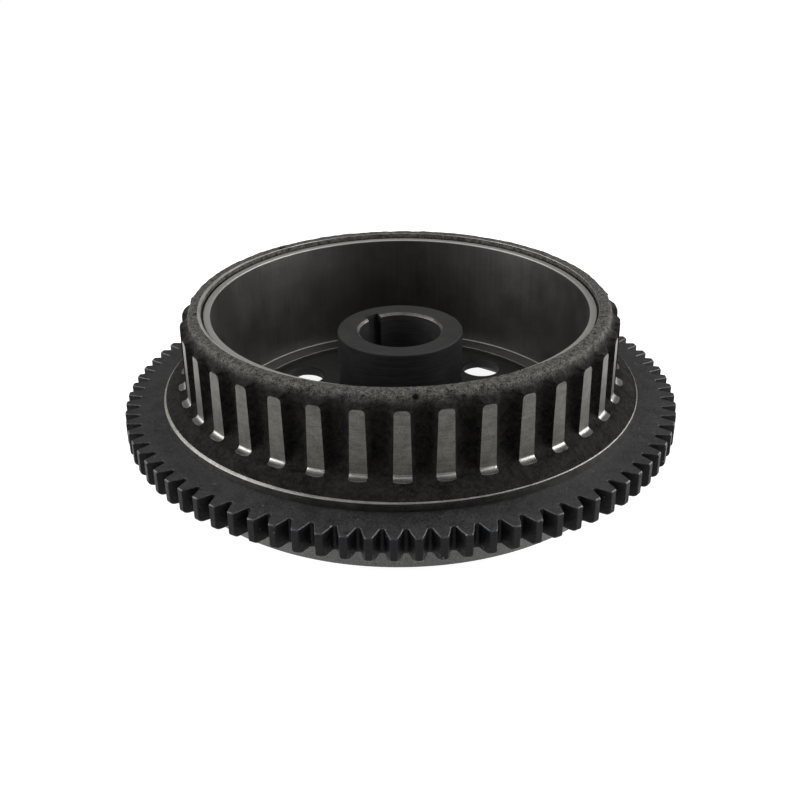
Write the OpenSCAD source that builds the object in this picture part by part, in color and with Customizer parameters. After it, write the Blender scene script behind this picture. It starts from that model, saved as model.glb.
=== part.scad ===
// Alternator flywheel: a cast rotor shell with trigger ribs, a shrunk-on starter ring gear,
// a riveted hub flange with a keyed bore, and arc magnets behind a steel liner.
// The origin is on the axis at the back face; +Z points out of the open cup.

/* [Levels above the back face] */
// Top face of the whole shell, at the rolled rim
rim_top_z = 48.2; // [46:0.1:52]
// Top face of the ring gear, under the brim
gear_top_z = 18.3; // [16:0.1:20]
// Top face of the liner's upper flange
liner_top_z = 46.6; // [45.5:0.1:47.5]
// Top face of the hub
hub_top_z = 37.7; // [30:0.1:44]
// Upper face of the floor disc
floor_z = 8.1; // [7:0.1:10]

/* [Starter ring gear] */
// Number of teeth
tooth_count = 84; // [72:1:96]
// Gear module
gear_module = 2; // [1.8:0.1:2.2]
// Width of the gear along the axis
gear_width = 7.7; // [6:0.1:9]
// Radius of the seat that the gear is shrunk on to
gear_seat_r = 73; // [70:0.1:74]

/* [Rotor shell] */
// Radius of the brim above the gear
brim_r = 74.05; // [73.8:0.05:77]
// Height of the brim's turned edge above the gear
brim_rise = 2.7; // [2:0.1:3.5]
// Radius of the wall between the ribs
wall_r = 64; // [63.6:0.1:65]
// Radius of the turned faces of the ribs
land_r = 67.1; // [66:0.1:68]
// Number of trigger ribs
rib_count = 36; // [24:1:48]
// Rib width at the foot
rib_foot_w = 4.9; // [4.5:0.1:6]
// Rib width at the top
rib_top_w = 4.1; // [3:0.1:4.5]
// Radius of the bore that the magnets are bonded to
magnet_bore_r = 62; // [61.5:0.1:62.5]
// Radius of the rim's inner edge
rim_inner_r = 60.6; // [60.2:0.1:61.2]

/* [Hub flange] */
// Radius of the crankshaft bore
bore_r = 12.7; // [10:0.1:14]
// Radius of the hub
hub_r = 19.5; // [18:0.1:22]
// Width of the keyway
key_w = 4.8; // [3:0.1:6.5]
// Depth of the keyway outside the bore
key_depth = 1.8; // [1.2:0.1:3]
// Direction of the keyway
key_angle = 130; // [0:1:360]
// Number of floor holes
floor_hole_count = 4; // [2:1:6]
// Radius of each floor hole
floor_hole_r = 6.25; // [4:0.05:7]
// Radius of the circle through the floor holes
floor_hole_ring_r = 43.3; // [38:0.1:45]
// Direction of the first floor hole
floor_hole_angle = 49.4; // [0:0.1:90]
// Number of rivets that hold the flange in the shell
rivet_count = 8; // [6:1:12]

/* [Magnets and liner] */
// Number of magnets
magnet_count = 12; // [8:1:16]
// Inner radius of the liner's wall
liner_inner_r = 57.9; // [57:0.1:58.5]
// Inner radius of the liner's lower flange
ledge_inner_r = 52.6; // [50:0.1:55]
// Angle of plastic between two magnets
spacer_angle = 2.6; // [2:0.1:4]

/* [Hidden] */
// Full-circle smoothness
$fn = 96;

// Gear outline
pitch_r = gear_module * tooth_count / 2;
tip_r = pitch_r + gear_module;
root_r = pitch_r - 1.25 * gear_module;
pressure_angle = 20;
tooth_thickening = 0.1;
base_r = pitch_r * cos(pressure_angle);
flank_steps = 4;
tooth_phase = -91.4;
gear_z = gear_top_z - gear_width;
lead_in = 1.3;
top_break = 0.4;

// Shell levels and radii
brim_top_z = gear_top_z + brim_rise;
foot_out = 2.2;
foot_rise = 1.2;
slope_top_r = land_r + foot_out;
slope_top_z = gear_top_z + 5.8;
foot_z = slope_top_z + foot_rise;
land_top_z = gear_top_z + 25.8;
shoulder_z = gear_top_z + 27.2;
rim_r = 64.5;
rim_round = 1.4;
lip_under_z = 45.2;
seat_inner_r = 53.6;
seat_z = floor_z - 3.1;
back_recess_z = 2;
back_rim_inner_r = 61;
flange_disc_r = 60;
back_chamfer = 0.8;
back_break = 0.2;
rib_corner = 1.2;
rib_start_angle = -89.8;
wall_foot_r = 67.2;
wall_foot_rise = 0.7;
wall_sweep_rise = 5.1;

// Hub details
bore_chamfer = 0.8;
hub_break = 0.5;
hub_fillet = 1.5;

// Rivets
rivet_ring_r = 56.2;
rivet_r = 2;
rivet_head_r = 3.1;
rivet_head_depth = 1.2;
rivet_tail_r = 3.4;
rivet_tail_h = 1.5;
rivet_tail_break = 0.6;
rivet_start_angle = floor_hole_angle + 22.5;

// Liner, magnets and their holder
liner_wall = 1;
liner_flange_r = 60;
ledge_z = floor_z + 1.7;
ledge_fillet = 0.7;
pack_gap = 0.05;
magnet_inner_r = liner_inner_r + liner_wall + pack_gap;
magnet_outer_r = magnet_bore_r - pack_gap;
magnet_z0 = floor_z + 3;
magnet_z1 = lip_under_z - 2;
magnet_pitch = 360 / magnet_count;
magnet_angle = magnet_pitch - spacer_angle - 0.2;
bead_top_z = liner_top_z - 0.7;

// Points along an arc about [x, y], from angle a0 to a1 in n steps
function arc_points(x, y, r, a0, a1, n) =
    [for (i = [0:n]) let (a = a0 + (a1 - a0) * i / n) [x + r * cos(a), y + r * sin(a)]];

// Polar angle, in degrees, that an involute of the base circle has turned through at radius r
function involute_turn(r) =
    let (t = sqrt(max(0, pow(r / base_r, 2) - 1))) t * 180 / PI - atan(t);

// Half of the angle that a tooth covers at radius r; the teeth are a little thicker than standard
function tooth_half_angle(r) =
    90 / tooth_count + tooth_thickening + involute_turn(pitch_r) - involute_turn(max(r, base_r));

// One tooth: root, rising flank, tip, falling flank
function flank_r(i) = root_r + (tip_r - root_r) * i / flank_steps;
function tooth_points(a) = concat(
    [for (i = [0:flank_steps]) let (r = flank_r(i), t = a - tooth_half_angle(r)) r * [cos(t), sin(t)]],
    [for (i = [flank_steps:-1:0]) let (r = flank_r(i), t = a + tooth_half_angle(r)) r * [cos(t), sin(t)]]);

module gear_outline() {
    polygon([for (k = [0:tooth_count - 1]) each tooth_points(tooth_phase + 360 * k / tooth_count)]);
}

// Disc that bevels both ends of the teeth, with the deeper lead-in at the back
module tooth_bevel() {
    inner = root_r - 2;
    rotate_extrude()
        polygon([[inner, gear_z], [tip_r - lead_in, gear_z], [tip_r, gear_z + lead_in],
                 [tip_r, gear_top_z - top_break], [tip_r - top_break, gear_top_z], [inner, gear_top_z]]);
}

module ring_gear() {
    color("dimgray") {
        intersection() {
            translate([0, 0, gear_z]) linear_extrude(gear_width) gear_outline();
            tooth_bevel();
        }
        difference() {
            translate([0, 0, gear_z]) cylinder(h = gear_width, r = root_r - 1.9);
            translate([0, 0, gear_z - 1]) cylinder(h = gear_width + 2, r = gear_seat_r);
        }
    }
}

// Cross-section of the shell as cast, with its wall at the depth between the ribs
module shell_section() {
    polygon(concat(
        [[back_rim_inner_r, back_recess_z], [back_rim_inner_r + back_chamfer, 0],
         [gear_seat_r - back_break, 0], [gear_seat_r, back_break], [gear_seat_r, gear_top_z],
         [brim_r, gear_top_z], [brim_r, brim_top_z - 0.5], [brim_r - 0.5, brim_top_z],
         [slope_top_r, slope_top_z], [wall_foot_r, slope_top_z + wall_foot_rise],
         [wall_r + 1.3, slope_top_z + 2.1], [wall_r, slope_top_z + wall_sweep_rise],
         [wall_r, shoulder_z - 0.6], [rim_r, shoulder_z + 0.6]],
        arc_points(rim_r - rim_round, rim_top_z - rim_round, rim_round, 0, 90, 4),
        [[rim_inner_r + 0.3, rim_top_z], [rim_inner_r, rim_top_z - 0.3], [rim_inner_r, lip_under_z],
         [magnet_bore_r, lip_under_z], [magnet_bore_r, floor_z], [flange_disc_r, floor_z],
         [flange_disc_r, seat_z], [seat_inner_r, seat_z], [seat_inner_r, back_recess_z]]));
}

// Cross-section of the band that the ribs fill, turned down to the lands and their foot fillet
module rib_section() {
    polygon(concat(
        [[wall_r - 1, slope_top_z - 2], [slope_top_r - 0.8, slope_top_z - 2], [slope_top_r, slope_top_z]],
        [for (a = [72:-18:0]) [land_r + foot_out * (1 - cos(a)), foot_z - foot_rise * sin(a)]],
        [[land_r, land_top_z], [rim_r - 0.2, shoulder_z + 0.5], [wall_r - 1, shoulder_z + 0.5]]));
}

// Face of one rib, drawn in the tangent and axial directions
module rib_face() {
    half_foot = rib_foot_w / 2;
    half_top = rib_top_w / 2;
    top_z = shoulder_z + 0.2;
    polygon(concat(
        [[-half_foot, slope_top_z - 3], [half_foot, slope_top_z - 3]],
        arc_points(half_top - rib_corner, top_z - rib_corner, rib_corner, 0, 90, 3),
        arc_points(-half_top + rib_corner, top_z - rib_corner, rib_corner, 90, 180, 3)));
}

module ribs() {
    intersection() {
        rotate_extrude() rib_section();
        for (k = [0:rib_count - 1])
            rotate([0, 0, rib_start_angle + 360 * k / rib_count])
                translate([wall_r - 2, 0, 0])
                    rotate([90, 0, 90])
                        linear_extrude(land_r + 6 - wall_r) rib_face();
    }
}

module rivet_pattern() {
    for (k = [0:rivet_count - 1])
        rotate([0, 0, rivet_start_angle + 360 * k / rivet_count])
            translate([rivet_ring_r, 0, 0]) children();
}

module rotor_shell() {
    color([0.16, 0.16, 0.17])
        difference() {
            union() {
                rotate_extrude() shell_section();
                ribs();
            }
            rivet_pattern() cylinder(h = seat_z + 1, r = rivet_r);
        }
}

module hub_section() {
    polygon(concat(
        [[bore_r, bore_chamfer], [bore_r + bore_chamfer, 0], [hub_r - hub_break, 0], [hub_r, hub_break],
         [hub_r, seat_z], [flange_disc_r, seat_z], [flange_disc_r, floor_z]],
        arc_points(hub_r + hub_fillet, floor_z + hub_fillet, hub_fillet, 270, 180, 3),
        [[hub_r, hub_top_z - hub_break], [hub_r - hub_break, hub_top_z],
         [bore_r + bore_chamfer, hub_top_z], [bore_r, hub_top_z - bore_chamfer]]));
}

module hub_flange() {
    color([0.22, 0.22, 0.22])
        difference() {
            rotate_extrude() hub_section();
            rotate([0, 0, key_angle])
                translate([0, -key_w / 2, -1])
                    cube([bore_r + key_depth, key_w, hub_top_z + 2]);
            for (k = [0:floor_hole_count - 1])
                rotate([0, 0, floor_hole_angle + 360 * k / floor_hole_count])
                    translate([floor_hole_ring_r, 0, seat_z - 1])
                        cylinder(h = floor_z - seat_z + 2, r = floor_hole_r);
            rivet_pattern() {
                cylinder(h = floor_z + 1, r = rivet_r);
                translate([0, 0, floor_z - rivet_head_depth])
                    cylinder(h = rivet_head_depth, r1 = rivet_r, r2 = rivet_head_r);
            }
        }
}

// Countersunk head on the cup side and a formed tail on the back
module flange_rivets() {
    tail_z = back_recess_z - rivet_tail_h;
    color("gray")
        rivet_pattern()
            rotate_extrude()
                polygon([[0, tail_z], [rivet_tail_r - rivet_tail_break, tail_z],
                         [rivet_tail_r, tail_z + rivet_tail_break], [rivet_tail_r, back_recess_z],
                         [rivet_r, back_recess_z], [rivet_r, floor_z - rivet_head_depth],
                         [rivet_head_r, floor_z], [0, floor_z]]);
}

// Drawn sleeve with an inward flange on the floor and an outward one under the rim
module liner_sleeve() {
    outer_r = liner_inner_r + liner_wall;
    color("silver")
        rotate_extrude()
            polygon(concat(
                [[ledge_inner_r, floor_z], [outer_r, floor_z], [outer_r, lip_under_z],
                 [liner_flange_r, lip_under_z], [liner_flange_r, liner_top_z],
                 [liner_inner_r + 0.2, liner_top_z], [liner_inner_r, liner_top_z - 0.2]],
                arc_points(liner_inner_r - ledge_fillet, ledge_z + ledge_fillet, ledge_fillet, 0, -90, 4),
                [[ledge_inner_r, ledge_z]]));
}

// Sector of a ring, centred on the +X axis
module ring_sector(r0, r1, z0, z1, angle) {
    rotate([0, 0, -angle / 2])
        rotate_extrude(angle = angle)
            translate([r0, z0]) square([r1 - r0, z1 - z0]);
}

module ring(r0, r1, z0, z1) {
    rotate_extrude() translate([r0, z0]) square([r1 - r0, z1 - z0]);
}

module magnet(k) {
    color([0.35, 0.35, 0.38])
        rotate([0, 0, magnet_pitch * (k - 0.5)])
            ring_sector(magnet_inner_r, magnet_outer_r, magnet_z0, magnet_z1, magnet_angle);
}

// Moulded base ring with one upright spacer between each pair of magnets
module magnet_holder() {
    color("beige")
        difference() {
            ring(magnet_inner_r, magnet_outer_r, floor_z, magnet_z1);
            for (k = [1:magnet_count])
                rotate([0, 0, magnet_pitch * (k - 0.5)])
                    ring_sector(magnet_inner_r - 1, magnet_outer_r + 1, magnet_z0, magnet_z1 + 1,
                                magnet_pitch - spacer_angle);
        }
}

module magnet_clamp_ring() {
    color("beige") ring(magnet_inner_r, magnet_outer_r, magnet_z1, lip_under_z);
}

module sealant_bead() {
    color([0.05, 0.05, 0.05]) ring(liner_flange_r, rim_inner_r, lip_under_z, bead_top_z);
}

rotor_shell();
ring_gear();
hub_flange();
flange_rivets();
liner_sleeve();
magnet_holder();
magnet_clamp_ring();
sealant_bead();
magnet(1);  // magnet_01
magnet(2);  // magnet_02
magnet(3);  // magnet_03
magnet(4);  // magnet_04
magnet(5);  // magnet_05
magnet(6);  // magnet_06
magnet(7);  // magnet_07
magnet(8);  // magnet_08
magnet(9);  // magnet_09
magnet(10);  // magnet_10
magnet(11);  // magnet_11
magnet(12);  // magnet_12
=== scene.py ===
# Alternator flywheel: detailed meshes, materials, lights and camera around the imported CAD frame.
import math

import bpy
import numpy as np
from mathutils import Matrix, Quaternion, Vector, noise


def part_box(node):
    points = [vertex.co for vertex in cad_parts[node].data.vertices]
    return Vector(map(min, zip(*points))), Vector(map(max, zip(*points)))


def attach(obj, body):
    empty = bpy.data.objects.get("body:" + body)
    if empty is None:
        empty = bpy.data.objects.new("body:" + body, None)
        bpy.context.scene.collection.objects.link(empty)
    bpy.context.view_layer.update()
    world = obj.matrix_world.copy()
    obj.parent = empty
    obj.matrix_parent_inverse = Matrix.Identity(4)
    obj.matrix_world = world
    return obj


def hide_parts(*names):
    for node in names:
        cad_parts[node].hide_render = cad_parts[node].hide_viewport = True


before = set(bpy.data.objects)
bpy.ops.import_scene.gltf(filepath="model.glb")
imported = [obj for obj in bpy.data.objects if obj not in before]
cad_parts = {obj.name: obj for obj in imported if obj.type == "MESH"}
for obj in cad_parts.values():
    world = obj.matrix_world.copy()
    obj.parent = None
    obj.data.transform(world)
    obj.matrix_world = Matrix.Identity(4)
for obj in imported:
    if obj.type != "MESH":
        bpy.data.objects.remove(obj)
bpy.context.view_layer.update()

MM = 0.001
SEGMENTS = 288
HUB_SEGMENTS = 240


def box_mm(node):
    """Lowest and highest corner of a CAD node, in millimetres."""
    low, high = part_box(node)
    return low / MM, high / MM


# ---- Sizes in millimetres, from the frame and a few driving dimensions ----
gear_low, gear_high = box_mm("ring_gear")
shell_high = box_mm("rotor_shell")[1]
hub_high = box_mm("hub_flange")[1]
liner_low, liner_high = box_mm("liner_sleeve")
bead_low, bead_high = box_mm("sealant_bead")

GEAR_MODULE = 2.0
GEAR_Z0 = gear_low.z
GEAR_Z1 = gear_high.z
TIP_R = gear_high.x
TOOTH_COUNT = round(2 * TIP_R / GEAR_MODULE) - 2
TOOTH_PHASE = -91.4
TOOTH_THICKENING = 0.1
PITCH_R = GEAR_MODULE * TOOTH_COUNT / 2
ROOT_R = PITCH_R - 1.25 * GEAR_MODULE
PRESSURE_ANGLE = 20
SEAT_R = 73.0
RIM_Z = shell_high.z
BRIM_R = 74.05
BRIM_Z = GEAR_Z1 + 2.7
WALL_R = 64.0
LAND_R = 67.1
RIB_COUNT = 36
RIB_PHASE = -89.8
RIM_R = 64.5
RIM_INNER_R = bead_high.x
LIP_Z = bead_low.z
BORE_R = 12.7
HUB_R = 19.5
HUB_Z = hub_high.z
FLOOR_Z = liner_low.z
FLANGE_R = hub_high.x
LINER_TOP_Z = liner_high.z
LINER_INNER_R = 57.9
LEDGE_INNER_R = 52.6
MAGNET_BORE_R = 62.0
SEAT_Z = FLOOR_Z - 3.1
SEAT_INNER_R = 53.6
BACK_RECESS_Z = 2.0
BACK_RIM_INNER_R = 61.0
HOLE_R = 6.25
HOLE_RING_R = 43.3
HOLE_ANGLE = 49.4
HOLE_COUNT = 4
RIVET_COUNT = 8
RIVET_RING_R = 56.2
RIVET_R = 2
RIVET_HEAD_R = 3.1
RIVET_HEAD_H = 1.2
KEY_ANGLE = 130
KEY_W = 4.8
KEY_DEPTH = 1.8
MAGNET_COUNT = 12
# Pits and nicks in the cast rim: angle in degrees, radius, height, size and depth
RIM_DENTS = ((-86.6, 64.2, 46.9, 1.2, 0.8), (190, 61.6, 48.2, 1.1, 0.9),
             (131, 61.8, 48.2, 1.4, 0.7))


# ---- Camera, lights and floor ----
def make_camera():
    """Looks at the centre of the gear's top face from the front, a little above it."""
    elevation = math.radians(26.636)
    distance = 0.35288
    roll = math.radians(-0.55)
    back = Vector((0, -math.cos(elevation), math.sin(elevation)))
    data = bpy.data.cameras.new("camera")
    data.lens = 49.678
    data.sensor_width = 36
    data.shift_x = -0.0007
    data.shift_y = -0.0193
    camera = bpy.data.objects.new("camera", data)
    bpy.context.scene.collection.objects.link(camera)
    camera.location = Vector((0, 0, GEAR_Z1 * MM)) + back * distance
    camera.rotation_mode = "QUATERNION"
    camera.rotation_quaternion = (-back).to_track_quat("-Z", "Y") @ Quaternion((0, 0, 1), roll)
    bpy.context.scene.camera = camera


def softbox(name, place, size, power):
    """Rectangular area light that points at the middle of the object."""
    data = bpy.data.lights.new(name, "AREA")
    data.shape = "RECTANGLE"
    data.size, data.size_y = size
    data.energy = power
    light = bpy.data.objects.new(name, data)
    bpy.context.scene.collection.objects.link(light)
    light.location = place
    light.rotation_mode = "QUATERNION"
    middle = Vector((0, 0, 0.03))
    towards = middle - Vector(place)
    light.rotation_quaternion = towards.to_track_quat("-Z", "Y")


def make_stage():
    """Pale floor that glows a little, as a light table does, a dim world and four soft lights."""
    half = 6.0
    mesh = bpy.data.meshes.new("floor")
    mesh.from_pydata([(-half, -half, 0), (half, -half, 0), (half, half, 0), (-half, half, 0)],
                     [], [(0, 1, 2, 3)])
    floor = bpy.data.objects.new("floor", mesh)
    floor.location.z = -0.02 * MM  # keeps it clear of the back rim's flat face
    bpy.context.scene.collection.objects.link(floor)
    shade = Shader("floor_paper")
    shade.set(base=(0.3, 0.3, 0.3), roughness=0.9, specular=0.1)
    shade.surface.inputs["Emission Color"].default_value = (1, 1, 1, 1)
    shade.surface.inputs["Emission Strength"].default_value = 0.9
    mesh.materials.append(shade.material)

    world = bpy.data.worlds.new("studio")
    world.use_nodes = True
    background = world.node_tree.nodes["Background"]
    background.inputs["Color"].default_value = (1, 1, 1, 1)
    background.inputs["Strength"].default_value = 0.2
    bpy.context.scene.world = world

    softbox("left_box", (-0.62, -0.08, 0.28), (0.7, 0.5), 8.6)
    softbox("right_box", (0.62, -0.02, 0.28), (0.7, 0.5), 10.4)
    softbox("top_box", (0.0, 0.3, 0.9), (0.8, 0.6), 3.4)
    softbox("front_strip", (0.0, -0.38, 0.75), (0.9, 0.12), 1.35)


# ---- Materials ----
class Shader:
    """Adds and links the nodes of one material around a Principled surface."""

    def __init__(self, name):
        self.material = bpy.data.materials.new(name)
        self.material.use_nodes = True
        self.tree = self.material.node_tree
        self.tree.nodes.clear()
        self.surface = self.tree.nodes.new("ShaderNodeBsdfPrincipled")
        output = self.tree.nodes.new("ShaderNodeOutputMaterial")
        self.tree.links.new(self.surface.outputs["BSDF"], output.inputs["Surface"])

    def node(self, kind, links=(), **settings):
        """New node; links are (input, source) pairs, where a source is an output or a value."""
        made = self.tree.nodes.new("ShaderNode" + kind)
        for key, value in settings.items():
            setattr(made, key, value)
        for socket, source in links:
            if isinstance(source, bpy.types.NodeSocket):
                self.tree.links.new(source, made.inputs[socket])
            else:
                made.inputs[socket].default_value = source
        return made

    def set(self, base=None, roughness=None, metallic=None, specular=None):
        """Numbers that are the same all over the surface."""
        if base is not None:
            self.surface.inputs["Base Color"].default_value = (*base, 1)
        if roughness is not None:
            self.surface.inputs["Roughness"].default_value = roughness
        if metallic is not None:
            self.surface.inputs["Metallic"].default_value = metallic
        if specular is not None:
            self.surface.inputs["Specular IOR Level"].default_value = specular

    def link(self, source, socket):
        self.tree.links.new(source, self.surface.inputs[socket])

    def math(self, operation, a, b=0.0):
        return self.node("Math", [(0, a), (1, b)], operation=operation).outputs[0]

    def millimetres(self):
        """Position on the object, in millimetres."""
        place = self.node("TexCoord").outputs["Object"]
        return self.node("VectorMath", [(0, place), (1, (1000, 1000, 1000))],
                         operation="MULTIPLY").outputs[0]

    def stretched(self, along, across):
        """Position whose features run round the axis, for marks that a lathe leaves."""
        place = self.millimetres()
        parts = self.node("SeparateXYZ", [(0, place)]).outputs
        flat = self.node("CombineXYZ", [("X", parts["X"]), ("Y", parts["Y"])]).outputs[0]
        radius = self.node("VectorMath", [(0, flat)], operation="LENGTH").outputs["Value"]
        level = self.math("MULTIPLY", self.math("SUBTRACT", parts["Z"], radius), 1 / across)
        x = self.math("MULTIPLY", parts["X"], 1 / along)
        y = self.math("MULTIPLY", parts["Y"], 1 / along)
        return self.node("CombineXYZ", [("X", x), ("Y", y), ("Z", level)]).outputs[0]

    def noise(self, place, size, detail=3.0, roughness=0.55):
        """Noise with features about size across, in the units of place."""
        return self.node("TexNoise", [("Vector", place), ("Scale", 1 / size), ("Detail", detail),
                                      ("Roughness", roughness)]).outputs["Fac"]

    def ramp(self, value, stops):
        """Colour or grey ramp through (position, colour or grey) stops."""
        made = self.node("ValToRGB", [(0, value)])
        elements = made.color_ramp.elements
        while len(elements) < len(stops):
            elements.new(0.5)
        for element, (position, colour) in zip(elements, stops):
            element.position = position
            shade = (colour,) * 3 if isinstance(colour, (int, float)) else colour
            element.color = (*shade, 1)
        return made.outputs[0]

    def above(self, place, low, high):
        """0 below the height low, rising to 1 at the height high, both in millimetres."""
        height = self.node("SeparateXYZ", [(0, place)]).outputs["Z"]
        return self.ramp(self.math("DIVIDE", height, 100.0),
                         [(0.0, 0.0), (low / 100, 0.0), (high / 100, 1.0)])

    def mix(self, factor, a, b):
        """Colour mix; 0, 6 and 7 are the sockets of its factor and its two colours."""
        made = self.node("Mix", data_type="RGBA")
        for socket, source in ((0, factor), (6, a), (7, b)):
            if isinstance(source, bpy.types.NodeSocket):
                self.tree.links.new(source, made.inputs[socket])
            else:
                made.inputs[socket].default_value = source if socket == 0 else (*source, 1)
        return made.outputs[2]

    def bump(self, heights):
        """Stacks (height, depth in mm) bumps on the surface normal."""
        normal = None
        for height, depth in heights:
            made = self.node("Bump", [("Height", height), ("Distance", depth * MM),
                                      ("Strength", 1.0)])
            if normal is not None:
                self.tree.links.new(normal, made.inputs["Normal"])
            normal = made.outputs[0]
        self.link(normal, "Normal")


def cast_iron():
    """Dark, coarse as-cast skin with light grains; the top band of the rim is painted lighter, with
    denser grains: painted light where the top catches the lamps.
    """
    s = Shader("cast_iron")
    place = s.millimetres()
    rim = s.above(place, RIM_Z - 3.0, RIM_Z - 0.9)
    grain = s.noise(place, 0.38, 4.0, 0.65)
    lumps = s.noise(place, 1.3, 3.0)
    patches = s.noise(place, 4.5, 4.0, 0.6)
    specks = s.math("ADD", s.math("MULTIPLY", grain, 0.65), s.math("MULTIPLY", lumps, 0.35))
    grouped = s.math("ADD", specks, s.math("MULTIPLY", s.math("SUBTRACT", patches, 0.5), 0.15))
    few = s.ramp(grouped, [(0.0, 0.0), (0.43, 0.0), (0.64, 1.0)])
    many = s.ramp(specks, [(0.0, 0.0), (0.40, 0.0), (0.63, 1.0)])
    skin = s.ramp(patches, [(0.35, (0.0015, 0.0015, 0.002)), (0.65, (0.005, 0.0048, 0.0045))])
    on_skin = s.mix(few, skin, (0.016, 0.0148, 0.0132))
    # Painted light: the top band of the rim gets denser, lighter grains.
    painted_lit_rim = s.mix(many, (0.006, 0.006, 0.0055), (0.10, 0.096, 0.087))
    # Painted shade: the inside of each pit and nick in the rim is painted near-black.
    painted_pit_shade = 0.0
    for at, pit_r, pit_z, size, _ in RIM_DENTS:
        a = math.radians(at)
        pit = (pit_r * math.cos(a), pit_r * math.sin(a), pit_z)
        away = s.node("VectorMath", [(0, place), (1, pit)], operation="DISTANCE").outputs["Value"]
        inside = s.node("MapRange", [("Value", away), ("From Min", size), ("From Max", 0.5 * size)])
        painted_pit_shade = s.math("MAXIMUM", inside.outputs[0], painted_pit_shade)
    surface = s.mix(rim, on_skin, painted_lit_rim)
    s.link(s.mix(painted_pit_shade, surface, (0.004, 0.004, 0.004)), "Base Color")
    s.link(s.ramp(grain, [(0.3, 0.6), (0.7, 0.88)]), "Roughness")
    s.set(metallic=0.0, specular=0.035)
    s.bump([(lumps, 0.28), (grain, 0.16)])
    return s.material


def turned_face(name, light, dark, roughness, pits=0.5, metallic=1.0, specular=0.5):
    """Bare iron with fine circumferential tool marks, faint stains and tiny dark pits."""
    s = Shader(name)
    marks = s.noise(s.stretched(9.0, 0.22), 1.0, 3.0, 0.65)
    place = s.millimetres()
    stain = s.noise(place, 2.6, 4.0)
    fine = s.noise(place, 0.4, 3.0, 0.6)
    mixed = s.math("ADD", s.math("MULTIPLY", marks, 0.5), s.math("MULTIPLY", stain, 0.5))
    metal = s.ramp(mixed, [(0.36, dark), (0.62, light)])
    s.link(s.mix(s.ramp(fine, [(0.34, pits), (0.5, 0.0)]), metal, tuple(0.35 * v for v in dark)),
           "Base Color")
    s.link(s.ramp(marks, [(0.3, roughness - 0.07), (0.7, roughness + 0.09)]), "Roughness")
    s.set(metallic=metallic, specular=specular)
    s.surface.inputs["Anisotropic"].default_value = 0.35
    s.bump([(marks, 0.012), (fine, 0.01)])
    return s.material


def heel_iron_painted_light():
    """Paler, less metallic copy of the turned iron on the rim that the flywheel stands on; the
    paleness is painted light from the floor below.
    """
    s = Shader("heel_iron_painted_light")
    place = s.millimetres()
    fine = s.noise(place, 0.4, 4.0, 0.65)
    # Painted light: this base is paler than the turned iron's, standing in for the floor's light.
    s.link(s.ramp(fine, [(0.35, (0.044, 0.044, 0.041)), (0.65, (0.138, 0.138, 0.128))]),
           "Base Color")
    s.link(s.ramp(fine, [(0.3, 0.55), (0.7, 0.7)]), "Roughness")
    s.set(metallic=0.35)
    s.bump([(fine, 0.03)])
    return s.material


def gear_steel(name, dark, light, specular):
    """Black oiled steel, with light worn edges and a few bright nicks."""
    s = Shader(name)
    place = s.millimetres()
    patches = s.noise(place, 5.0, 4.0)
    fine = s.noise(place, 0.55, 3.0, 0.65)
    wear = s.node("Attribute", attribute_name="wear").outputs["Fac"]
    worn = s.math("MULTIPLY", wear, s.ramp(s.noise(place, 0.9, 3.0), [(0.4, 0.0), (0.65, 1.0)]))
    nicks = s.ramp(s.noise(place, 1.1, 2.0, 0.7), [(0.0, 0.0), (0.735, 0.0), (0.76, 1.0)])
    tone = s.math("ADD", s.math("MULTIPLY", patches, 0.35),
                  s.math("MULTIPLY", s.noise(place, 0.6, 4.0, 0.65), 0.65))
    base = s.ramp(tone, [(0.38, dark), (0.62, light)])
    edged = s.mix(worn, base, (0.026, 0.026, 0.027))
    s.link(s.mix(nicks, edged, (0.16, 0.16, 0.155)), "Base Color")
    s.link(s.ramp(s.math("ADD", s.math("MULTIPLY", fine, 0.8), s.math("MULTIPLY", patches, 0.2)),
                  [(0.38, 0.33), (0.62, 0.66)]), "Roughness")
    s.set(metallic=0.0, specular=specular)
    s.bump([(fine, 0.10), (s.noise(place, 1.2, 3.0), 0.12)])
    return s.material


def hub_steel(name, dark, light, specular, marked):
    """Dark, finely finished steel; marked is how much its tone follows the tool marks."""
    s = Shader(name)
    place = s.millimetres()
    fine = s.noise(place, 0.36, 3.0, 0.6)
    marks = s.noise(s.stretched(8.0, 0.3), 1.0)
    mottle = s.math("ADD", s.math("MULTIPLY", s.noise(place, 6.0, 4.0), 0.6),
                    s.math("MULTIPLY", fine, 0.4))
    tone = s.math("ADD", s.math("MULTIPLY", marks, marked), s.math("MULTIPLY", mottle, 1 - marked))
    s.link(s.ramp(tone, [(0.35, dark), (0.65, light)]), "Base Color")
    s.link(s.ramp(fine, [(0.3, 0.5), (0.7, 0.68)]), "Roughness")
    s.set(metallic=0.0, specular=specular)
    s.bump([(fine, 0.05), (marks, 0.008)])
    return s.material


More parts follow.
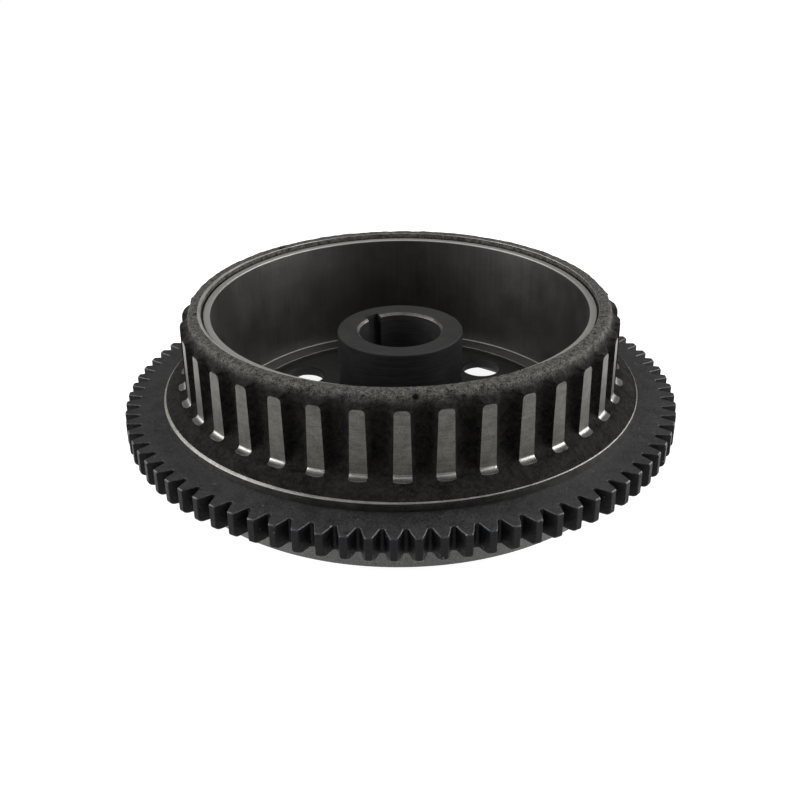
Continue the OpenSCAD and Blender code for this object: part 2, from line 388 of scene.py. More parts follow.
def liner_steel():
    """Satin drawn steel, with faint upright drawing streaks; the top face of the flange is painted
    lighter, as painted light where it faces the lamps.
    """
    s = Shader("liner_steel")
    place = s.millimetres()
    upright = s.node("Mapping", [("Vector", place), ("Scale", (1.0, 1.0, 0.04))]).outputs[0]
    streaks = s.noise(upright, 0.9, 4.0, 0.6)
    cloud = s.noise(place, 9.0, 3.0)
    grain = s.noise(place, 0.55, 4.0, 0.65)
    mixed = s.math("ADD", s.math("MULTIPLY", cloud, 0.4),
                   s.math("MULTIPLY", s.math("ADD", streaks, grain), 0.3))
    wall = s.ramp(mixed, [(0.34, (0.082, 0.080, 0.0755)), (0.66, (0.124, 0.120, 0.1135))])
    painted_lit_top = s.above(place, LINER_TOP_Z - 0.45, LINER_TOP_Z - 0.3)
    # Painted light: the flange's top face is painted lighter than the wall.
    s.link(s.mix(painted_lit_top, wall, (0.29, 0.282, 0.265)), "Base Color")
    rough = s.ramp(mixed, [(0.36, 0.40), (0.64, 0.46)])
    s.link(s.math("ADD", rough, s.math("MULTIPLY", painted_lit_top, 0.16)), "Roughness")
    s.set(metallic=1.0)
    s.bump([(streaks, 0.003), (grain, 0.008)])
    return s.material


def plain_finish(name, dark, light, roughness, metallic, grain):
    """Mottled finish for the pieces inside."""
    s = Shader(name)
    place = s.millimetres()
    mottle = s.noise(place, 1.5, 4.0)
    s.link(s.ramp(mottle, [(0.3, dark), (0.7, light)]), "Base Color")
    s.link(s.ramp(mottle, [(0.3, roughness - 0.08), (0.7, roughness + 0.08)]), "Roughness")
    s.set(metallic=metallic)
    s.bump([(s.noise(place, 0.3, 3.0), grain)])
    return s.material


# ---- Mesh helpers ----
def soften(corners, steps=4, closed=True):
    """Outline through (r, z, size) corners, each cut back by size and rounded."""
    points = []
    count = len(corners)
    for i, (r, z, size) in enumerate(corners):
        here = np.array([r, z], float)
        if size == 0 or (not closed and i in (0, count - 1)):
            points.append(here)
            continue
        before = np.array(corners[i - 1][:2]) - here
        after = np.array(corners[(i + 1) % count][:2]) - here
        start = here + before / np.linalg.norm(before) * size
        end = here + after / np.linalg.norm(after) * size
        for t in np.linspace(0, 1, steps + 1):
            points.append((1 - t) ** 2 * start + 2 * t * (1 - t) * here + t * t * end)
    return np.array(points)


def make_piece(name, points, faces, materials, face_materials=None, sharp=32):
    """Mesh object from points in millimetres, smooth except at edges over the sharp angle."""
    mesh = bpy.data.meshes.new(name)
    mesh.from_pydata((np.asarray(points) * MM).tolist(), [], [tuple(f) for f in faces])
    for material in materials:
        mesh.materials.append(material)
    if face_materials is not None:
        mesh.polygons.foreach_set("material_index", np.asarray(face_materials, np.int32))
    mesh.shade_smooth()
    mesh.update()
    mesh.set_sharp_from_angle(angle=math.radians(sharp))
    piece = bpy.data.objects.new(name, mesh)
    bpy.context.scene.collection.objects.link(piece)
    return piece


def weighted(piece):
    """Keeps wide flat faces flat next to their narrow rounded edges."""
    modifier = piece.modifiers.new("weighted_normals", "WEIGHTED_NORMAL")
    modifier.keep_sharp = True


def grid_faces(columns, rows, wrap_rows=True):
    """Quads of a grid whose columns close round the axis."""
    bands = rows if wrap_rows else rows - 1
    i, j = np.meshgrid(np.arange(columns), np.arange(bands), indexing="ij")
    i, j = i.ravel(), j.ravel()
    i2, j2 = (i + 1) % columns, (j + 1) % rows
    return np.stack([i * rows + j, i2 * rows + j, i2 * rows + j2, i * rows + j2], axis=1)


def revolve_points(outline, segments=SEGMENTS):
    """Points of a closed (r, z) outline turned about the axis, column by column."""
    angle = np.linspace(0, 2 * math.pi, segments, endpoint=False)[:, None]
    r, z = outline[:, 0], outline[:, 1]
    return np.stack([r * np.cos(angle), r * np.sin(angle), z + 0 * angle], axis=-1).reshape(-1, 3)


def revolve(name, outline, materials, segments=SEGMENTS):
    """Ring-shaped piece with a closed outline, wound counterclockwise in (r, z)."""
    return make_piece(name, revolve_points(outline, segments), grid_faces(segments, len(outline)),
                      materials)


def place_round(points, ring_r, angle):
    """Moves points out by ring_r and turns them about the axis by angle in degrees."""
    a = math.radians(angle)
    x, y = points[:, 0] + ring_r, points[:, 1]
    return np.stack([x * math.cos(a) - y * math.sin(a), x * math.sin(a) + y * math.cos(a),
                     points[:, 2]], axis=1)


def spindle(outline, segments=48):
    """Points and faces of a solid of revolution whose outline starts and ends on the axis."""
    inner = outline[1:-1]
    rows = len(inner)
    ring = revolve_points(inner, segments)
    points = np.vstack([ring, [[0, 0, outline[0, 1]], [0, 0, outline[-1, 1]]]])
    faces = grid_faces(segments, rows, wrap_rows=False).tolist()
    first, last = len(ring), len(ring) + 1
    for i in range(segments):
        k = (i + 1) % segments
        faces.append([first, k * rows, i * rows])
        faces.append([last, i * rows + rows - 1, k * rows + rows - 1])
    return points, faces


def repeat_round(points, faces, ring_r, angles):
    """Points and faces of one copy at each angle of a circle of radius ring_r."""
    all_faces = [[i + k * len(points) for i in face] for k in range(len(angles)) for face in faces]
    return np.vstack([place_round(points, ring_r, angle) for angle in angles]), all_faces


def noise_at(points, size, seed):
    """Smooth noise from -1 to 1 at each point, with features about size mm across."""
    shift = Vector((seed * 17.3, seed * 5.1, seed * 9.7))
    return np.array([noise.noise(Vector(p) / size + shift) for p in points])


def finish_piece(piece, slot_name, *nodes):
    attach(piece, "root")
    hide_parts(*nodes)


# ---- Rotor shell ----
FOOT_OUT = 2.2
FOOT_RISE = 1.2
SLOPE_TOP_R = LAND_R + FOOT_OUT
SLOPE_TOP_Z = GEAR_Z1 + 5.8
FOOT_Z = SLOPE_TOP_Z + FOOT_RISE
LAND_TOP_Z = GEAR_Z1 + 25.8
RIB_FOOT_W = 4.9
RIB_TOP_W = 4.1
RIB_CORNER = 1.2
RIB_MIDDLE_R = 66.0
FLANK_W = 2.6
CROWN = 0.3
RIB_CHANGES = (0.12, 0.12, 0.35, 0.10)
# The valley's wall starts at its foot, and sweeps out a little under the rim
VALLEY_FOOT_Z = 29.2
VALLEY_BEND = (WALL_R + 0.8, 24.6)
VALLEY_HEAD_Z = LAND_TOP_Z - 3.6
VALLEY_HEAD_OUT = 1.1
# Material slots of the shell, in the order that rotor_shell takes them
CAST, LAND, TURNED, HEEL, EDGE, FACET, FOOT = range(7)


def between(a, b, count):
    """Evenly spaced values from a to b, without a."""
    return np.linspace(a, b, count + 1)[1:]


def shell_rows():
    """Rows of the shell from its back face, up outside and down inside. Each row has the place on a
    rib, the place in a valley, the land's half width, the flank's outer limit and a kind."""
    rows = []

    def common(points, kind):
        for r, z in points:
            rows.append((r, z, r, z, RIB_FOOT_W / 2, RIB_FOOT_W / 2 + FLANK_W, kind))

    heel = soften([(SEAT_INNER_R, SEAT_Z, 0), (SEAT_INNER_R, BACK_RECESS_Z, 0.2),
                   (BACK_RIM_INNER_R, BACK_RECESS_Z, 0.5), (BACK_RIM_INNER_R + 0.8, 0, 0.25),
                   (SEAT_R, 0, 0.3), (SEAT_R, GEAR_Z0 + 1, 0)], 3, closed=False)
    common(heel[1:], "heel")
    common([(SEAT_R, GEAR_Z1), (BRIM_R, GEAR_Z1), (BRIM_R, GEAR_Z1 + 1)], "turned")
    common([(BRIM_R, BRIM_Z - 0.45)], "brim")
    common([(BRIM_R - 0.45, BRIM_Z)], "brim")
    slope_start = np.array([BRIM_R - 0.5, BRIM_Z])
    slope_end = np.array([SLOPE_TOP_R, SLOPE_TOP_Z])
    slope_steps = (0.17, 0.34, 0.51, 0.68, 0.84, 1.0)
    common([slope_start + (slope_end - slope_start) * t for t in slope_steps], "slope")

    # Foot fillet of the land against the sweep of the valley
    fillet_steps = 8
    valley_foot = np.array([WALL_R, VALLEY_FOOT_Z])
    for t in between(0, 1, fillet_steps):
        a = math.radians(90 - 90 * t)
        land = (LAND_R + FOOT_OUT * (1 - math.cos(a)), FOOT_Z - FOOT_RISE * math.sin(a))
        valley = ((1 - t) ** 2 * slope_end + 2 * t * (1 - t) * np.array(VALLEY_BEND)
                  + t * t * valley_foot)
        rows.append((*land, *valley, RIB_FOOT_W / 2, RIB_FOOT_W / 2 + FLANK_W, "land foot"))

    def valley_wall(z):
        t = min(max((z - VALLEY_HEAD_Z) / (LAND_TOP_Z - VALLEY_HEAD_Z), 0), 1)
        return WALL_R + VALLEY_HEAD_OUT * t * t * (3 - 2 * t)

    # Land up to its rounded top corners
    corner_z = LAND_TOP_Z - RIB_CORNER
    straight_steps = 13
    for t in between(0, 1, straight_steps):
        half = (RIB_FOOT_W + (RIB_TOP_W - RIB_FOOT_W) * t) / 2
        z = VALLEY_FOOT_Z + (corner_z - VALLEY_FOOT_Z) * t
        rows.append((LAND_R, FOOT_Z + (corner_z - FOOT_Z) * t, valley_wall(z), z,
                     half, half + FLANK_W, "land"))
    for a in between(0, 90, 5):
        turn = math.radians(a)
        half = RIB_TOP_W / 2 - RIB_CORNER * (1 - math.cos(turn))
        z = corner_z + RIB_CORNER * math.sin(turn)
        rows.append((LAND_R, z, valley_wall(z), z, half, RIB_TOP_W / 2 + FLANK_W, "land"))

    # The rib's cast end, which fades up into the rolled rim
    rim_round = 1.5
    arc = [(RIM_R - rim_round + rim_round * math.cos(a),
            RIM_Z - rim_round + rim_round * math.sin(a)) for a in np.radians(between(0, 90, 8))]
    rise = RIM_Z - rim_round - 0.2 - LAND_TOP_Z
    head_r = WALL_R + VALLEY_HEAD_OUT
    for t in between(0, 1, 7):
        fade = t * t * (3 - 2 * t)
        z = LAND_TOP_Z + rise * t
        rows.append((LAND_R + (RIM_R - LAND_R) * fade, z,
                     head_r + (RIM_R - head_r) * fade, z,
                     RIB_TOP_W / 2 - RIB_CORNER + (RIB_CORNER + 0.5) * math.sqrt(min(2 * t, 1)),
                     RIB_TOP_W / 2 + FLANK_W, "rim"))

    # Rolled rim, inner edge and the hidden bore
    common(arc, "rim")
    common([(RIM_R - rim_round - 0.7, RIM_Z), (RIM_INNER_R + 1.1, RIM_Z)], "rim")
    common([(RIM_INNER_R + 0.45, RIM_Z - 0.05), (RIM_INNER_R, RIM_Z - 0.5)], "facet")
    common([(RIM_INNER_R, RIM_Z - 1.6), (RIM_INNER_R, LIP_Z), (MAGNET_BORE_R, LIP_Z),
            (MAGNET_BORE_R, 30.0), (MAGNET_BORE_R, FLOOR_Z), (FLANGE_R, FLOOR_Z),
            (FLANGE_R, SEAT_Z), (SEAT_INNER_R, SEAT_Z)], "bore")
    return rows


def crowned_foot(r, z, lift):
    """Moves the foot of the land up its fillet by lift, more the nearer a row is to the slope."""
    slack = 0.01
    on_foot = (z >= SLOPE_TOP_Z - slack) * (r <= SLOPE_TOP_R + slack)
    near = np.clip((r - LAND_R) / FOOT_OUT, 0, 1) * on_foot
    angle = np.arccos(np.clip(1 - (r - LAND_R) / FOOT_OUT, 0, 1))
    raised = angle - lift * near ** 2
    return (np.where(near > 0, LAND_R + FOOT_OUT * (1 - np.cos(raised)), r),
            np.where(near > 0, FOOT_Z - FOOT_RISE * np.sin(raised), z))


def rotor_shell(*materials):
    """Each rib has its own small change of width, place, top height and lean."""
    rows = shell_rows()
    kinds = np.array([row[6] for row in rows])
    land_r, land_z, valley_r, valley_z, edge, outer = np.array([row[:6] for row in rows]).T

    # Columns of one rib: valley, flank, land, flank, valley
    valley_steps, flank_steps, land_steps = 3, 5, 6
    columns = [("valley", -t) for t in np.linspace(1, 0, valley_steps, endpoint=False)]
    columns += [("flank", -t) for t in np.linspace(1, 0, flank_steps, endpoint=False)]
    columns += [("land", t) for t in np.linspace(-1, 1, land_steps + 1)]
    columns += [("flank", t) for t in between(0, 1, flank_steps)]
    columns += [("valley", t) for t in between(0, 1, valley_steps)[:-1]]

    half_pitch = math.pi * RIB_MIDDLE_R / RIB_COUNT
    border = half_pitch - 0.3
    wobble = np.random.default_rng(7).uniform(-1, 1, (RIB_COUNT, 5))
    points = np.zeros((RIB_COUNT, len(columns), len(rows), 3))
    is_land = np.char.startswith(kinds, "land")
    for k in range(RIB_COUNT):
        width, slip, lift, lean = wobble[k, :4] * RIB_CHANGES
        rise = np.clip((land_z - FOOT_Z) / (LAND_TOP_Z - FOOT_Z), 0, 1) * (land_z < RIM_Z - 2)
        half = edge + width * is_land
        for c, (kind, t) in enumerate(columns):
            side = math.copysign(1, t)
            if kind == "land":
                offset, blend = t * half, 0.0
            elif kind == "flank":
                offset = side * (half + (outer - half) * abs(t))
                blend = 1 - (1 - abs(t)) ** 2
            else:
                offset, blend = side * (outer + (half_pitch - outer) * abs(t)), 1.0
            crown = CROWN if kind == "valley" else CROWN * abs(t) ** 4
            crown_r, crown_z = crowned_foot(land_r, land_z, crown)
            r = crown_r + (valley_r - crown_r) * blend
            z = crown_z + (valley_z - crown_z) * blend
            shift = (slip + lean * rise) * (abs(offset) < border)
            angle = math.radians(RIB_PHASE + 360 * k / RIB_COUNT) + (offset + shift) / RIB_MIDDLE_R
            lifted = z + lift * rise * (1 - blend) * is_land
            points[k, c] = np.stack([r * np.cos(angle), r * np.sin(angle), lifted], axis=-1)
    column_count = RIB_COUNT * len(columns)
    points = points.reshape(column_count, len(rows), 3)

    shape_brim(points, kinds)
    shape_rim(points, kinds)

    faces = grid_faces(column_count, len(rows))
    column_of = np.arange(column_count).repeat(len(rows)) % len(columns)
    row_of = np.tile(np.arange(len(rows)), column_count)
    first_land = valley_steps + flank_steps
    in_land = (column_of >= first_land) & (column_of < first_land + land_steps)
    next_kind = np.roll(kinds, -1)[row_of]
    here_kind = kinds[row_of]
    slots = np.full(len(faces), CAST)
    slots[np.isin(here_kind, ["turned", "bore"])] = TURNED
    slots[here_kind == "heel"] = HEEL
    slots[(here_kind == "brim") & (next_kind == "brim")] = EDGE
    slots[(here_kind == "facet") & (next_kind == "facet")] = FACET
    slots[in_land & (next_kind == "land") & np.isin(here_kind, ["land foot", "land"])] = LAND
    # The foot fillet gets a lighter copy of the turned iron. Its shine is real, and the extra
    # lightness is a painted highlight.
    slots[in_land & (next_kind == "land foot")] = FOOT

    roughen(points, kinds, column_of.reshape(column_count, -1), first_land, first_land + land_steps)
    piece = make_piece("rotor_shell_casting", points.reshape(-1, 3), faces, materials, slots,
                       sharp=38)
    weighted(piece)
    finish_piece(piece, "shell_casting", "rotor_shell")


def polar(points):
    return np.hypot(points[..., 0], points[..., 1]), np.arctan2(points[..., 1], points[..., 0])


def set_polar(points, r, angle):
    points[..., 0] = r * np.cos(angle)
    points[..., 1] = r * np.sin(angle)


def shape_brim(points, kinds):
    """The brim's turned edge is wide on the left and thin on the right."""
    wide_at = math.radians(200)
    first, second = np.flatnonzero(kinds == "brim")[-2:]
    angle = polar(points[:, first])[1]
    width = 0.24 + 0.45 * np.clip(np.cos(angle - wide_at), 0, 1)
    points[:, first, 2] = BRIM_Z - 0.75 * width
    set_polar(points[:, second], BRIM_R - width, angle)
    points[:, second, 2] = BRIM_Z + 0.3 * width


def shape_rim(points, kinds):
    """The facet along the rim's inner edge is wide on the left and nearly gone elsewhere."""
    wide_at = math.radians(205)
    top, low = np.flatnonzero(kinds == "facet")[-2:]
    angle = polar(points[:, top])[1]
    width = 0.05 + 1.0 * np.clip(np.cos(angle - wide_at), 0, 1) ** 1.5
    set_polar(points[:, top], RIM_INNER_R + width, angle)
    points[:, low, 2] = RIM_Z - 0.12 - 0.5 * width


def dents(part, r, angle):
    """Depth of the few pits and nicks in the rim, each at an angle, a radius and a height."""
    depth = np.zeros(r.shape)
    for at, pit_r, pit_z, size, deep in RIM_DENTS:
        along = (np.mod(angle - math.radians(at) + math.pi, 2 * math.pi) - math.pi) * pit_r
        away = np.sqrt(along ** 2 + (r - pit_r) ** 2 + (part[..., 2] - pit_z) ** 2)
        depth += deep * np.clip(1 - (away / size) ** 2, 0, 1)
    return depth


def roughen(points, kinds, column_of, first_land, last_land):
    """Lumps and dents of the as-cast skin; turned faces stay true."""
    cast_rows = np.flatnonzero(np.isin(kinds, ["slope", "land foot", "land", "rim"]))
    part = points[:, cast_rows]
    r, angle = polar(part)
    flat = part.reshape(-1, 3)
    lumps = noise_at(flat, 3.2, 1) * 0.20 + noise_at(flat, 1.3, 2) * 0.13
    lumps = lumps.reshape(r.shape)
    on_land = (column_of[:, cast_rows] >= first_land) & (column_of[:, cast_rows] <= last_land)
    on_land &= np.char.startswith(kinds[cast_rows], "land")[None, :]
    lumps[on_land] = 0
    last_slope = np.flatnonzero(kinds[cast_rows] == "slope")[-1]
    lumps[:, last_slope] *= ~((column_of[:, 0] >= first_land) & (column_of[:, 0] <= last_land))
    lumps -= dents(part, r, angle)
    level = (part[..., 2] > RIM_Z - 1.0) | (kinds[cast_rows] == "slope")[None, :]
    part[..., 2] = np.minimum(part[..., 2] + np.where(level, lumps * 0.8, 0), RIM_Z)
    set_polar(part, r + np.where(level, 0.4, 1.0) * lumps, angle)
    points[:, cast_rows] = part


# ---- Ring gear ----
ROOT_FILLET = 0.55


def involute_turn(r):
    base_r = PITCH_R * math.cos(math.radians(PRESSURE_ANGLE))
    t = np.sqrt(np.maximum(0, (r / base_r) ** 2 - 1))
    return t - np.arctan(t)


def tooth_half(r):
    """Half angle that a tooth covers at radius r, with a rounded root."""
    half = math.radians(90 / TOOTH_COUNT + TOOTH_THICKENING)
    half = half + involute_turn(PITCH_R) - involute_turn(np.maximum(r, ROOT_R))
    depth = np.clip(1 - (r - ROOT_R) / ROOT_FILLET, 0, 1)
    return half + (ROOT_FILLET * (1 - np.sqrt(1 - depth ** 2)) * 0.8) / ROOT_R


def ring_gear(face_steel, flank_steel):
    """Teeth with involute flanks, a rounded lead-in at the back and a small break all round."""
    lead_in, top_break, side_break, tip_break, worn_width = 1.3, 0.3, 0.22, 0.12, 0.4
    root_drop = 0.12
    levels = np.array([ROOT_R, ROOT_R + 0.18, ROOT_R + ROOT_FILLET, ROOT_R + 1.3, PITCH_R,
                       TIP_R - lead_in, TIP_R - 0.8, TIP_R - top_break, TIP_R - tip_break, TIP_R])
    halves = tooth_half(levels)
    halves[-1] -= tip_break / TIP_R
    across = (-1, -0.999, -0.5, 0, 0.5, 0.999, 1)
    pitch = 2 * math.pi / TOOTH_COUNT
    points, faces, wear = [], [], []

    def add(x, y, z, worn=0.0):
        points.append((x, y, z))
        wear.append(worn)
        return len(points) - 1

    def strip(lower, upper):
        for k in range(len(lower) - 1):
            faces.append([lower[k], lower[k + 1], upper[k + 1], upper[k]])

    def end_z(r, top):
        if top:
            return GEAR_Z1 - max(r - (TIP_R - top_break), 0)
        depth = max(r - (TIP_R - lead_in), 0) / lead_in
        return GEAR_Z0 + lead_in * (1 - math.sqrt(1 - 0.85 * depth ** 2))

    def end_face(top):
        """One end of the gear; returns the loop of points round its teeth and its inner loop."""
        rng = np.random.default_rng(3)
        outline, root_loop = [], []
        for tooth in range(TOOTH_COUNT):
            middle = math.radians(TOOTH_PHASE) + tooth * pitch
            nick = rng.uniform(0.5, 1.0) if top else 0
            grid = []
            for r, half in zip(levels, halves):
                row = []
                for c in across:
                    on_side = abs(c) == 1
                    reach = half if on_side else abs(c) * (half - side_break / r)
                    a = middle + np.sign(c) * reach
                    drop = 0 if not on_side else root_drop if r == ROOT_R else 0.9 * side_break
                    z = end_z(r, top) - drop if top else end_z(r, top) + 1.6 * drop
                    row.append(add(r * math.cos(a), r * math.sin(a), z,
                                   nick if on_side or r == TIP_R else 0))
                grid.append(row)
            for a, b in zip(grid[:-1], grid[1:]):
                strip(b, a) if top else strip(a, b)
            start, gap = middle + halves[0], pitch - 2 * halves[0]
            bottom = [add(ROOT_R * math.cos(start + gap * t), ROOT_R * math.sin(start + gap * t),
                          points[grid[0][-1]][2], nick) for t in (1 / 3, 2 / 3)]
            outline += [row[0] for row in grid] + grid[-1][1:-1]
            outline += [row[-1] for row in grid[::-1]] + bottom
            root_loop += grid[0] + bottom
        loops = [root_loop]
        for r in (ROOT_R - 0.25, SEAT_R):
            scale = [r / math.hypot(*points[i][:2]) for i in root_loop]
            loops.append([add(points[i][0] * f, points[i][1] * f, GEAR_Z1 if top else GEAR_Z0)
                          for i, f in zip(root_loop, scale)])
        closed = [loop + loop[:1] for loop in loops]
        for a, b in zip(closed[:-1], closed[1:]):
            strip(a, b) if top else strip(b, a)
        return outline + outline[:1], closed[-1]

    low, low_inner = end_face(False)
    high, high_inner = end_face(True)
    end_count = len(faces)
    # The wear stays within narrow bands along the edges
    rings = [low]
    for edge, step in ((low, worn_width), (high, -worn_width)):
        ring = [add(points[i][0], points[i][1], points[i][2] + step) for i in edge[:-1]]
        rings.append(ring + ring[:1])
    rings.append(high)
    for a, b in zip(rings[:-1], rings[1:]):
        strip(a, b)
    strip(high_inner, low_inner)

    is_flank = np.arange(len(faces)) >= end_count
    piece = make_piece("starter_ring_gear", points, faces, [face_steel, flank_steel], is_flank,
                       sharp=30)
    attribute = piece.data.attributes.new("wear", "FLOAT", "POINT")
    attribute.data.foreach_set("value", np.array(wear, np.float32))
    weighted(piece)
    finish_piece(piece, "gear_steel", "ring_gear")


# ---- Hub flange, liner, sealant and rivets ----
def cut(piece, cutters):
    """Takes the cutters away from the piece, and applies the result to its mesh."""
    for cutter in cutters:
        modifier = piece.modifiers.new("cut", "BOOLEAN")
        modifier.operation = "DIFFERENCE"
        modifier.solver = "EXACT"
        modifier.object = cutter
    bpy.context.view_layer.update()
    graph = bpy.context.evaluated_depsgraph_get()
    mesh = bpy.data.meshes.new_from_object(piece.evaluated_get(graph))
    piece.modifiers.clear()
    piece.data = mesh
    for cutter in cutters:
        bpy.data.objects.remove(cutter)


def round_cutter(name, outline, ring_r, angles):
    points, faces = spindle(np.array(outline, float))
    return make_piece(name, *repeat_round(points, faces, ring_r, angles), [])


def rivet_angles():
    """Angles of the rivets, in degrees; a floor hole is half way between two of them."""
    first = HOLE_ANGLE + 180 / RIVET_COUNT
    return [first + 360 * k / RIVET_COUNT for k in range(RIVET_COUNT)]


def hub_flange(top_steel, shaded_side_steel, bare_edge):
    """Hub and floor disc; the hub's sides get a darker, less shiny copy of the steel as painted
    shade, and the bore's chamfer is bare.
    """
    chamfer = 0.8
    outline = soften([(BORE_R, chamfer, 0.15), (BORE_R + chamfer, 0, 0.15), (HUB_R, 0, 0.5),
                      (HUB_R, SEAT_Z, 0.3), (FLANGE_R, SEAT_Z, 0.1), (FLANGE_R, FLOOR_Z, 0.1),
                      (HUB_R, FLOOR_Z, 1.5), (HUB_R, HUB_Z, 0.5), (BORE_R + chamfer, HUB_Z, 0.15),
                      (BORE_R, HUB_Z - chamfer, 0.15)], 5)
    shaded_side_slot, bare_slot = 1, 2
    piece = revolve("hub_flange_turned", outline, [top_steel, shaded_side_steel, bare_edge], HUB_SEGMENTS)
    key = np.array([[x, y, z] for x in (0, BORE_R + KEY_DEPTH) for y in (-KEY_W / 2, KEY_W / 2)
                    for z in (-2, HUB_Z + 2)])
    key_faces = [(0, 1, 3, 2), (4, 6, 7, 5), (0, 4, 5, 1), (2, 3, 7, 6), (0, 2, 6, 4), (1, 5, 7, 3)]
    keyway = make_piece("keyway_cutter", place_round(key, 0, KEY_ANGLE), key_faces, [])
    bevel = 0.35
    hole = [(0, SEAT_Z - 1), (HOLE_R + bevel + 1, SEAT_Z - 1), (HOLE_R, SEAT_Z + bevel),
            (HOLE_R, FLOOR_Z - bevel), (HOLE_R + bevel + 1, FLOOR_Z + 1), (0, FLOOR_Z + 1)]
    holes = round_cutter("hole_cutter", hole, HOLE_RING_R,
                         [HOLE_ANGLE + 360 * k / HOLE_COUNT for k in range(HOLE_COUNT)])
    sink = [(0, SEAT_Z - 1), (RIVET_R, SEAT_Z - 1), (RIVET_R, FLOOR_Z - RIVET_HEAD_H),
            (RIVET_HEAD_R, FLOOR_Z), (RIVET_HEAD_R, FLOOR_Z + 1), (0, FLOOR_Z + 1)]
    sinks = round_cutter("rivet_hole_cutter", sink, RIVET_RING_R, rivet_angles())
    cut(piece, [keyway, holes, sinks])
    for face in piece.data.polygons:
        x, y, z = (v / MM for v in face.center)
        level = abs(face.normal.z)
        # Painted shade: the hub's upright sides take the darker copy of the steel.
        if level < 0.5 and z > FLOOR_Z + 0.8:
            face.material_index = shaded_side_slot
        elif 0.5 <= level < 0.9 and BORE_R < math.hypot(x, y) < BORE_R + chamfer:
            face.material_index = bare_slot
    piece.data.shade_smooth()
    piece.data.set_sharp_from_angle(angle=math.radians(30))
    weighted(piece)
    finish_piece(piece, "hub_steel", "hub_flange")


def flange_rivets(steel):
    """Countersunk heads in the floor, and rounded tails behind it."""
    tail_z, tail_r, tail_round = BACK_RECESS_Z - 1.5, 3.4, 0.6
    head_z, head_r = FLOOR_Z - 0.02, RIVET_HEAD_R - 0.05
    outline = [(0, tail_z)]
    outline += [(tail_r - tail_round * (1 - math.sin(a)), tail_z + tail_round * (1 - math.cos(a)))
                for a in np.radians(np.linspace(0, 90, 6))]
    outline += [(tail_r, BACK_RECESS_Z), (RIVET_R, BACK_RECESS_Z),
                (RIVET_R, FLOOR_Z - RIVET_HEAD_H), (head_r, head_z), (0, head_z)]
    points, faces = repeat_round(*spindle(np.array(outline)), RIVET_RING_R, rivet_angles())
    piece = make_piece("flange_rivet_set", points, faces, [steel])
    weighted(piece)
    finish_piece(piece, "rivet_steel", "flange_rivets")


def liner_sleeve(steel):
    """Drawn sleeve with an inward flange on the floor and an outward one under the rim."""
    outer = LINER_INNER_R + 1
    ledge_z = FLOOR_Z + 1.7
    outline = soften([(LEDGE_INNER_R, FLOOR_Z, 0.1), (outer, FLOOR_Z, 0.5), (outer, LIP_Z, 0),
                      (FLANGE_R, LIP_Z, 0.1), (FLANGE_R, LINER_TOP_Z, 0.25),
                      (LINER_INNER_R, LINER_TOP_Z, 0.35), (LINER_INNER_R, ledge_z, 0.8),
                      (LEDGE_INNER_R, ledge_z, 0.25)], 4)
    piece = revolve("liner_sleeve_drawn", outline, [steel])
    weighted(piece)
    finish_piece(piece, "liner_steel", "liner_sleeve")


def sealant_bead(epoxy):
    """The bead's top sinks by an uneven amount, as it does when it cures."""
    outline = soften([(FLANGE_R, bead_low.z, 0), (RIM_INNER_R, bead_low.z, 0),
                      (RIM_INNER_R, bead_high.z, 0), (FLANGE_R + 0.3, bead_high.z - 0.15, 0.1),
                      (FLANGE_R, bead_high.z, 0)], 3)
    points = revolve_points(outline)
    top = points[:, 2] > bead_high.z - 0.3
    points[top, 2] -= 0.2 + 0.18 * noise_at(points[top], 2.5, 5)
    piece = make_piece("sealant_bead_epoxy", points, grid_faces(SEGMENTS, len(outline)), [epoxy])
    finish_piece(piece, "sealant", "sealant_bead")


def carried_over(material, *names):
    """Gives a CAD node that stays as it is its material."""
    for name in names:
        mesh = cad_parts[name].data
        mesh.materials.clear()
        mesh.materials.append(material)


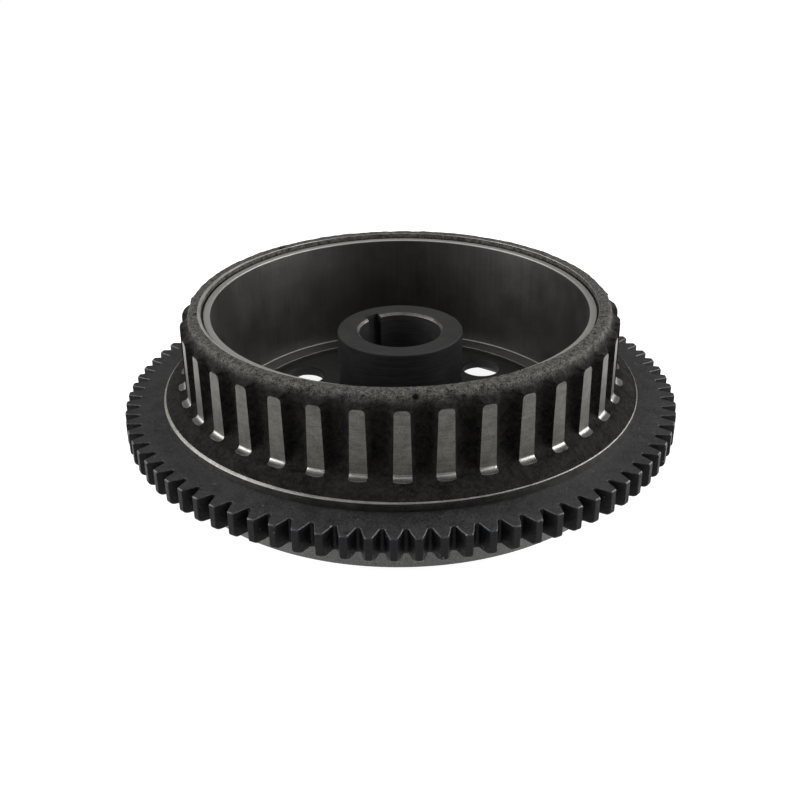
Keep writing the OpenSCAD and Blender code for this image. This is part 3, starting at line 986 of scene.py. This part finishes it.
bpy.context.scene.view_settings.view_transform = "Standard"
make_camera()
make_stage()
rotor_shell(cast_iron(),
            turned_face("turned_land", (0.098, 0.095, 0.085), (0.051, 0.0495, 0.045), 0.36,
                        metallic=0.35, specular=0.15),
            turned_face("turned_iron", (0.10, 0.098, 0.094), (0.055, 0.0535, 0.052), 0.42),
            heel_iron_painted_light(),
            turned_face("turned_edge", (0.155, 0.152, 0.143), (0.085, 0.083, 0.077), 0.46, 0.4),
            turned_face("rim_facet", (0.40, 0.39, 0.365), (0.24, 0.235, 0.22), 0.5, 0.4),
            # Lighter copy of the turned iron for the foot fillet: real shine, and the extra
            # lightness is a painted highlight.
            turned_face("turned_foot_painted_highlight", (0.25, 0.245, 0.23), (0.16, 0.157, 0.148), 0.4))
ring_gear(gear_steel("gear_face", (0.0015, 0.0015, 0.002), (0.013, 0.0128, 0.0132), 0.40),
          gear_steel("gear_flank", (0.0014, 0.0015, 0.002), (0.005, 0.0052, 0.0062), 0.12))
hub_flange(hub_steel("hub_steel", (0.008, 0.008, 0.008), (0.016, 0.0155, 0.015), 0.19, 0.2),
           hub_steel("hub_side_painted_shade", (0.005, 0.0048, 0.0052), (0.018, 0.0172, 0.0175), 0.11, 0.6),
           turned_face("bore_edge", (0.115, 0.112, 0.106), (0.06, 0.058, 0.055), 0.42))
flange_rivets(plain_finish("rivet_steel", (0.22, 0.22, 0.22), (0.32, 0.32, 0.31), 0.45, 1.0, 0.01))
liner_sleeve(liner_steel())
sealant_bead(plain_finish("black_epoxy", (0.006, 0.006, 0.006), (0.012, 0.012, 0.012),
                          0.4, 0.0, 0.03))
carried_over(plain_finish("moulded_plastic", (0.55, 0.50, 0.40), (0.62, 0.57, 0.46),
                          0.5, 0.0, 0.01), "magnet_holder", "magnet_clamp_ring")
carried_over(plain_finish("ferrite", (0.035, 0.035, 0.038), (0.055, 0.055, 0.06), 0.6, 0.0, 0.03),
             *[f"magnet_{k:02d}" for k in range(1, MAGNET_COUNT + 1)])
